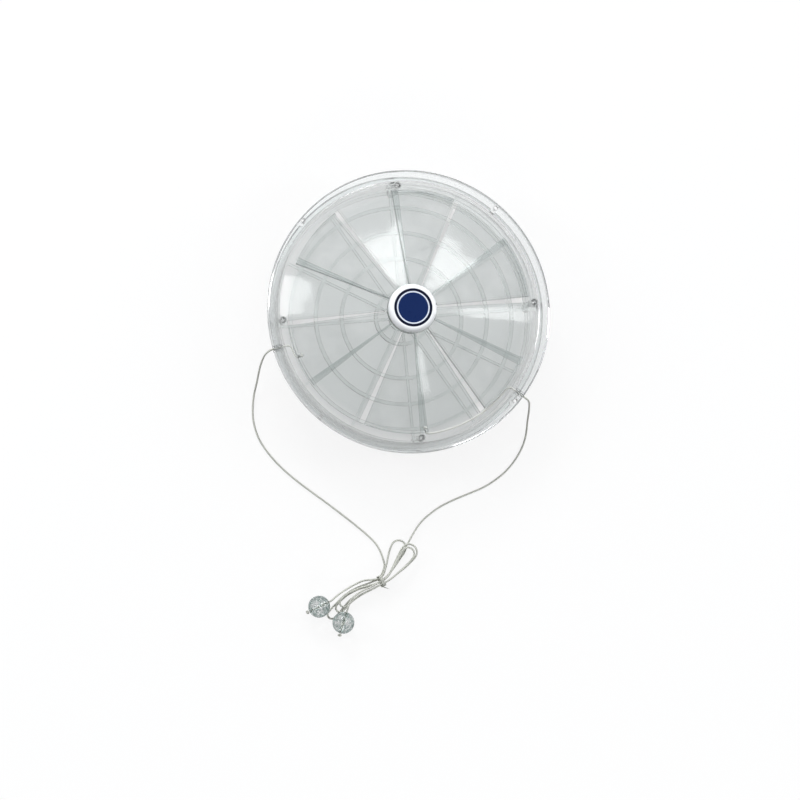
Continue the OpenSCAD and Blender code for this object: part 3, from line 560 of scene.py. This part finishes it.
def cord_material(name, low, high):
    """Slightly translucent twisted cord, its twist placed by the tube's UV map; the twist's darker
    bands are painted shade in its grooves.
    """
    m, b = material(name, high, 0.55, Sheen_Weight=0.25, Transmission_Weight=0.25, IOR=1.45)
    mapping = node(m, "ShaderNodeMapping")
    mapping.inputs["Scale"].default_value = (3, 0.55, 1)
    link(m, coordinates(m, "UV"), mapping.inputs["Vector"])
    twist = node(m, "ShaderNodeTexWave", Scale=1.0, Distortion=0.4,
                 wave_type="BANDS", bands_direction="DIAGONAL")
    link(m, mapping.outputs["Vector"], twist.inputs["Vector"])
    vary_color(m, b, twist.outputs["Fac"], low, high)
    bump(m, b, twist.outputs["Fac"], 0.6, 0.0003)
    return m


def badge_material(name, low, high, line, border):
    """Blue print with a pale ring line and a dark border, placed by the distance from the axis."""
    m, b = material(name, high, 0.3, Specular_IOR_Level=0.15)
    distance = from_axis(m, (0, BADGE_R * MM))
    last = ramp(m, noise(m, 1500), low, high).outputs["Color"]
    for edge, color in ((RING_LINE_R - RING_LINE_W / 2, line), (RING_LINE_R + RING_LINE_W / 2, border)):
        mix = node(m, "ShaderNodeMix", data_type="RGBA")
        link(m, calc(m, "GREATER_THAN", distance, edge / BADGE_R), mix.inputs["Factor"])
        link(m, last, mix.inputs["A"])
        mix.inputs["B"].default_value = (*color, 1)
        last = mix.outputs["Result"]
    link(m, last, b.inputs["Base Color"])
    vary(m, b, "Roughness", noise(m, 400), 0.22, 0.38)
    return m


def uneven_gloss(name, color, roughness, scale, detail, low, high, **inputs):
    m, b = material(name, color, roughness, **inputs)
    vary(m, b, "Roughness", noise(m, scale, detail), low, high)
    return m


def housing_material():
    """Greyer in the cone than in the flange round it: the grey in the cone is painted shade."""
    m, b = clear_material("clear_plastic", (1, 1, 1))
    vary_color(m, b, from_axis(m, (0.080, 0.092)), (0.8, 0.83, 0.825), (0.995, 1, 1), 0, 1)
    return m


def vane_material():
    """Grey, and darker on the edges that are seen at a slant: the grey is painted shade over the vanes,
    and the dark edges are painted shade too.
    """
    m, b = clear_material("clear_plastic_rotor", (0.82, 0.835, 0.83))
    mottle_and_edge_shade = painted_edge_shade(m, noise(m, 60), 1.0)
    stops = vary_color(m, b, mottle_and_edge_shade, (0.76, 0.79, 0.785), (0.84, 0.865, 0.86))
    # a dark stop for the painted shade on the slanted edges
    stops.new(0).color = (0.2, 0.23, 0.23, 1)
    return m


def bead_material():
    """Crackled, and darker at the edge; the dark edge is painted shade."""
    m, b = clear_material("clear_bead", (0.7, 0.75, 0.75), 1.49, (0.05, 0.14), 0.8, 420)
    mottle_and_edge_shade = painted_edge_shade(m, noise(m, 620, 4), 0.3)
    vary_color(m, b, mottle_and_edge_shade, (0.2, 0.29, 0.27), (1, 1, 1), 0.34, 0.55)
    return m


CLEAR = housing_material()
CLEAR_ROTOR = vane_material()
CLEAR_REAR = clear_material("clear_plastic_rear", (0.97, 0.985, 0.98))[0]
CLEAR_BEAD = bead_material()
CLEAR_BORE = clear_material("clear_bead_bore", (0.97, 1, 0.99), 1.49, (0.05, 0.12))[0]
SEAL = clear_material("seal_clear", (0.98, 0.99, 0.99), 1.42, (0.1, 0.2), 0.3)[0]
WHITE = uneven_gloss("cap_white", (0.9, 0.91, 0.93), 0.28, 240, 4, 0.22, 0.36, Coat_Weight=0.3)
BLUE = badge_material("badge_blue", (0.001, 0.012, 0.07), (0.004, 0.022, 0.115), (0.7, 0.75, 0.85),
                      (0.001, 0.003, 0.02))
STEEL = uneven_gloss("steel", (0.72, 0.73, 0.75), 0.3, 900, 3, 0.2, 0.42, Metallic=1.0)
CORD = cord_material("cord_white", (0.5, 0.51, 0.45), (0.84, 0.85, 0.78))
# a lighter copy of the same cord for the cords inside the housing: painted light that makes up for the
# shade they lie in
CORD_INSIDE = cord_material("cord_white_inside", (0.75, 0.76, 0.72), (0.93, 0.94, 0.9))


def dress(o, m):
    o.data.materials.clear()
    o.data.materials.append(m)


for m, names in (
        (CLEAR, ("front_housing", "clamp_screws")),
        (CLEAR_ROTOR, ("shutter_rotor",)),
        (CLEAR_REAR, ("rear_ring", "weather_guard")),
        (SEAL, ("front_gasket", "rear_gasket", "cord_guide_left", "cord_guide_right")),
        (STEEL, ("rotor_bush", "spindle", "friction_washer", "spindle_washer", "spindle_nut")),
        (WHITE, ("hub_cap",)),
        (BLUE, ("badge",))):
    for name in names:
        dress(CAD[name], m)


# cords and what is on them
def free_cord(i, points):
    o = tube("free_cord_" + SIDES[i], points, CORD_R - CORD_SLACK)
    dress(o, CORD)
    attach(o, "housing")
    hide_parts("cord_" + SIDES[i], "hank_" + SIDES[i], "cord_tail_" + SIDES[i])
    return o


def pull_bead(i):
    (x, y), d = BEADS[i]
    o = ball_with_bore("pull_bead_" + SIDES[i])
    turned(o, (x, y, BEAD_R), (*d, 0))
    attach(o, "housing")
    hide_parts("cord_bead_" + SIDES[i])
    return o


def end_knot(i):
    o = overhand_knot("end_knot_" + SIDES[i], KNOT_R, KNOT_CORD_R)
    turned(o, bead_point(i, -BEAD_R - BEAD_GAP - 0.9 * KNOT_R), bead_point(i, -1) - bead_point(i, 0))
    dress(o, CORD)
    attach(o, "housing")
    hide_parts("bead_knots")
    return o


def hank_tie():
    """The turns of the tie, with a short free end that thins out."""
    free, steps, sag, taper = 5.2, 6, 0.5, 5
    path = [place_tie(p) for p in tie_path()]
    last = path[-1]
    out = Vector((*(0.75 * side(WAIST) - 0.66 * heading(WAIST)), 0))
    path += [last + free * k / steps * out - Vector((0, 0, sag * (k / steps) ** 2))
             for k in range(1, steps + 1)]
    radii = [TIE_WALL / 2 * min(1, 0.25 + 0.75 * k / taper) for k in range(len(path))][::-1]
    o = tube("tie_turns", path, radii, 8)
    dress(o, CORD)
    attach(o, "housing")
    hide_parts("hank_tie")
    return o


def channel_cord(i):
    a, b = GUIDE_CLOCK[i], KNOT_CLOCK[i]
    o = tube("channel_cord_" + SIDES[i], inner_route(a, b), CORD_R - CORD_SLACK)
    dress(o, CORD_INSIDE)
    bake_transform(o)
    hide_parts("inner_cord_" + SIDES[i])


def vane_knot(i):
    a = KNOT_CLOCK[i]
    o = overhand_knot("vane_knot_" + SIDES[i], KNOT_R, KNOT_CORD_R)
    turned(o, clock_point(a, KNOT_SEAT_R, KNOT_Z), clock_point(a, 1, 0))
    dress(o, CORD_INSIDE)
    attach(o, "shutter")
    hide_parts("rotor_knots")


for i in range(2):
    points = finer(whole_cord(i), CORD_STEP)
    o = free_cord(i, points)
    extra = [pull_bead(i), end_knot(i)]
    if SIDES[i] == "right":
        extra.append(hank_tie())
    channel_cord(i)
    vane_knot(i)


# floor and lights
def mix_white(m, shader, white, share, output):
    """Mixes a shader with plain white, by the share of white."""
    mix = node(m, "ShaderNodeMixShader")
    link(m, share, mix.inputs["Fac"])
    link(m, shader, mix.inputs[1])
    link(m, white, mix.inputs[2])
    link(m, mix.outputs["Shader"], m.node_tree.nodes[output].inputs["Surface"])


def seen_directly_or_not(m):
    """Whether the camera sees it, and whether a reflection or a clear piece does."""
    path = node(m, "ShaderNodeLightPath").outputs
    other = calc(m, "ADD", path["Is Glossy Ray"], path["Is Transmission Ray"], clamp=True)
    return path["Is Camera Ray"], other


def show_white(m, b):
    """Adds plain white to what the camera, a reflection or a clear piece sees of the floor.

    Under the ventilator the camera sees less of it, a painted shadow. A clear piece sees more of it at
    the top, painted shade that darkens the floor towards the bottom.
    """
    camera, other = seen_directly_or_not(m)
    seen = calc(m, "MULTIPLY", camera, from_axis(m, FLOOR_EDGE, FLOOR_SEEN))
    through = towards_top(m, "Object", FLOOR_RISE, FLOOR_THROUGH)
    share = calc(m, "MULTIPLY_ADD", other, through, seen, clamp=True)
    white = node(m, "ShaderNodeEmission", Color=(1, 1, 1, 1))
    mix_white(m, b.outputs["BSDF"], white.outputs["Emission"], share, "Material Output")


def make_floor():
    mesh = bpy.data.meshes.new("floor")
    s = FLOOR_HALF
    corners = [(-s, -s, 0), (s, -s, 0), (s, s, 0), (-s, s, 0)]
    mesh.from_pydata(corners, [], [(0, 1, 2, 3)])
    o = new_object("floor", mesh)
    m, b = material("floor", (0.9, 0.9, 0.9), 0.9, Specular_IOR_Level=0.1)
    vary(m, b, "Roughness", noise(m, 30), 0.8, 0.95)
    show_white(m, b)
    dress(o, m)
    o.location.z = -FLOOR_DROP


def area(name, loc, size, power):
    """A light over the ventilator, turned towards it."""
    light = bpy.data.lights.new(name, "AREA")
    light.shape = "RECTANGLE"
    light.size, light.size_y = size
    light.energy = power
    o = bpy.data.objects.new(name, light)
    bpy.context.scene.collection.objects.link(o)
    o.location = loc
    o.rotation_mode = "QUATERNION"
    o.rotation_quaternion = Vector(loc).to_track_quat("Z", "Y")
    return o


def mirrored(clock, r, away):
    """Place from which the cone, at this clock angle and radius, sends light to the camera."""
    foot = clock_point(clock, r, FLANGE_Z) * MM
    v = (bpy.context.scene.camera.location - foot).normalized()
    n = clock_point(clock, math.sin(math.radians(CONE)), math.cos(math.radians(CONE)))
    return foot + away * (2 * n.dot(v) * n - v)


def card(name, clock, half, r, depth, power, away=1.3):
    """Small light seen mirrored in the cone over the clock angles on both sides of clock."""
    ends = [mirrored(clock + k * half, r, away) for k in (-1, 1)]
    loc = mirrored(clock, r, away)
    o = area(name, loc, ((ends[1] - ends[0]).length, depth), power)
    z = (loc - clock_point(clock, r, FLANGE_Z) * MM).normalized()
    x = ends[1] - ends[0]
    x = (x - z * x.dot(z)).normalized()
    o.rotation_quaternion = Matrix((x, z.cross(x), z)).transposed().to_quaternion()


make_floor()
area("key", (-0.8, 1.5, 1.1), (0.9, 0.5), 13)
area("right", (1.6, 0.4, 0.9), (0.35, 0.9), 8)
area("left", (-1.6, 0.1, 0.9), (0.4, 0.8), 8)
area("low", (0.35, -1.7, 1.0), (1.0, 0.4), 7)
card("card_top_left", clock=328, half=15, r=36, depth=0.058, power=0.23)
card("card_top_right", clock=29, half=16, r=36, depth=0.058, power=0.21)
card("card_left", clock=267, half=9, r=82, depth=0.038, power=0.09)
card("card_right", clock=81.5, half=3.5, r=60, depth=0.08, power=0.06)
card("card_low", clock=160, half=4, r=42, depth=0.06, power=0.04)


def make_world():
    """Soft sky light, and plain white where the camera or a clear piece sees past the floor."""
    world = bpy.data.worlds.new("world")
    bpy.context.scene.world = world
    world.use_nodes = True
    sky = world.node_tree.nodes["Background"]
    sky.inputs["Color"].default_value = (0.95, 0.97, 1.0, 1)
    link(world, towards_top(world, "Generated", SKY_RISE, SKY_LEVEL), sky.inputs["Strength"])
    white = node(world, "ShaderNodeBackground", Color=(1, 1, 1, 1))
    camera, other = seen_directly_or_not(world)
    share = calc(world, "MULTIPLY_ADD", other, SKY_WHITE, camera, clamp=True)
    mix_white(world, sky.outputs["Background"], white.outputs["Background"], share, "World Output")


make_world()
